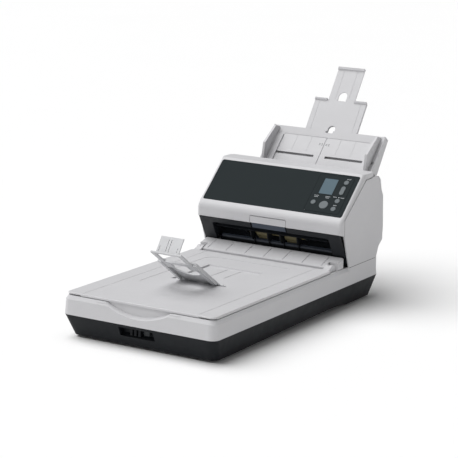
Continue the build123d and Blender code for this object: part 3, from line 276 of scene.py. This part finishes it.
def seam(name, material, x, points, width=0.75, lift=0.05):
    """Shadow line of a parting gap: a ribbon on the side face at x, left of the path points (y, z)."""
    path = [Vector(p) for p in points]
    verts, faces = [], []
    for i, p in enumerate(path):
        ahead = (path[min(i + 1, len(path) - 1)] - path[max(i - 1, 0)]).normalized()
        inner = p + Vector((ahead.y, -ahead.x)) * width
        for height in (-0.02, lift):
            face_x = x + (height if x > 0 else -height)
            verts += [at(face_x, p.x, p.y), at(face_x, inner.x, inner.y)]
    for i in range(len(path) - 1):
        k = 4 * i
        for a, b in ((0, 1), (1, 3), (3, 2), (2, 0)):
            faces.append([k + a, k + b, k + 4 + b, k + 4 + a])
    last = len(verts) - 4
    faces += [[0, 2, 3, 1], [last, last + 1, last + 3, last + 2]]
    piece(name, verts, faces, material, "housing")


def row(x, s, count, length=1.7, gap=0.7, width=1.15):
    """A line of short bars centred on x."""
    pitch = length + gap
    return [(x + (i - (count - 1) / 2) * pitch, s, length, width, 0) for i in range(count)]


PANEL_PRINT = 0.19                    # just above the operator bezel
pale_ink = print_ink("pale_ink", (0.55, 0.58, 0.60))
panel_bars = row(124, 84.2, 3) + [(127.5, 85, 2.2, 0.7, 50)]
for x, count in ((76.8, 4), (99.5, 4)):
    panel_bars += row(x, 41.4, count) + row(x, 38.4, count - 1)
panel_bars += row(113.4, 42.4, 3, 1.9, 0.5) + row(128.2, 42.4, 3, 1.9, 0.5) + row(121.4, 42.4, 1, 2.6)
panel_bars += row(120.5, 24.6, 3)
marks("panel_marks", pale_ink, "cover", panel, panel_bars, PANEL_PRINT)

grey_ink = print_ink("grey_ink", (0.10, 0.10, 0.11))
faint_ink = print_ink("faint_ink", (0.36, 0.36, 0.37))
arrows = []
for sign in (-1, 1):
    for x in (4.5, 9.5):
        arrows += [(sign * x, -14.2, 3.6, 1.2, 28 * sign), (sign * x, -17.0, 3.6, 1.2, -28 * sign)]
marks("centre_arrows", grey_ink, "housing", bed, arrows, -0.64)
ticks = [(113.6, -4 - 2.5 * i, 3.2 if i % 4 else 4.4, 0.45, 0) for i in range(24)]
marks("size_ticks", faint_ink, "housing", bed, ticks, -0.02)

# painted shade: near-black ribbons stand for the shadow inside the parting gaps of the cover and the base
shade = moulded("seam_shade", (0.03, 0.031, 0.034), 0.7, Specular_IOR_Level=0.1)
FRONT_SEAM = [(424.35, 133.4), (423.45, 163.2), (500.2, 223.6), (524, 224.6)]
BASE_SEAM = [(545, 73.35), (446.5, 73.35)]
for side_name, x in (("left", -150), ("right", 150)):
    seam("front_seam_" + side_name, shade, x, FRONT_SEAM)
    seam("base_seam_" + side_name, shade, x, BASE_SEAM)

# ---------------------------------------------------------------- stage

def plain(name, color, rough=0.9):
    m = Mat(name, color, rough)
    m.tint(m.noise(2, 2), 0.995, 1.005)
    return m.m


FLOOR_Z = -0.0004
floor = piece("floor", [(-14, -8, FLOOR_Z), (14, -8, FLOOR_Z), (14, 16, FLOOR_Z), (-14, 16, FLOOR_Z)],
              [[0, 1, 2, 3]], plain("floor_white", (0.93, 0.93, 0.93)))

world = bpy.data.worlds.new("studio")
scene.world = world
world.use_nodes = True
sky = world.node_tree
glow = sky.nodes["Background"]
glow.inputs["Color"].default_value = (1.0, 1.0, 1.0, 1.0)
direction = sky.nodes.new("ShaderNodeTexCoord")
parts = sky.nodes.new("ShaderNodeSeparateXYZ")
fade = sky.nodes.new("ShaderNodeMapRange")          # bright near the horizon, dimmer overhead
for key, value in (("From Min", 0.08), ("From Max", 0.26), ("To Min", 1.0), ("To Max", 0.2)):
    fade.inputs[key].default_value = value
sky.links.new(direction.outputs["Generated"], parts.inputs[0])
sky.links.new(parts.outputs["Z"], fade.inputs["Value"])
sky.links.new(fade.outputs["Result"], glow.inputs["Strength"])
scene.view_settings.view_transform = "Standard"


def sun(name, toward, strength, spread):
    """Soft sun that shines from the direction toward."""
    data = bpy.data.lights.new(name, "SUN")
    data.energy = strength
    data.angle = radians(spread)
    obj = bpy.data.objects.new(name, data)
    scene.collection.objects.link(obj)
    obj.rotation_euler = Vector(toward).to_track_quat("Z", "Y").to_euler()
    return obj


sun("softbox", (-0.42, -0.16, 0.9), 3.05, 62)

# ---------------------------------------------------------------- camera

AZIMUTH, ELEVATION, ROLL = radians(31.45), radians(12.51), radians(1.13)
right = Vector((cos(AZIMUTH), sin(AZIMUTH), 0))
back = Vector((sin(AZIMUTH) * cos(ELEVATION), -cos(AZIMUTH) * cos(ELEVATION), sin(ELEVATION)))
up = back.cross(right)
camera_data = bpy.data.cameras.new("camera")
camera = bpy.data.objects.new("camera", camera_data)
scene.collection.objects.link(camera)
across = right * cos(ROLL) + up * sin(ROLL)
upward = up * cos(ROLL) - right * sin(ROLL)
turn = Matrix((across, upward, back)).transposed().to_4x4()
camera.matrix_world = Matrix.Translation(at(1632.4, -2388.3, 848.2)) @ turn
camera_data.sensor_width = 36
camera_data.lens = 145.7
camera_data.clip_start = 0.1
camera_data.clip_end = 60
scene.camera = camera
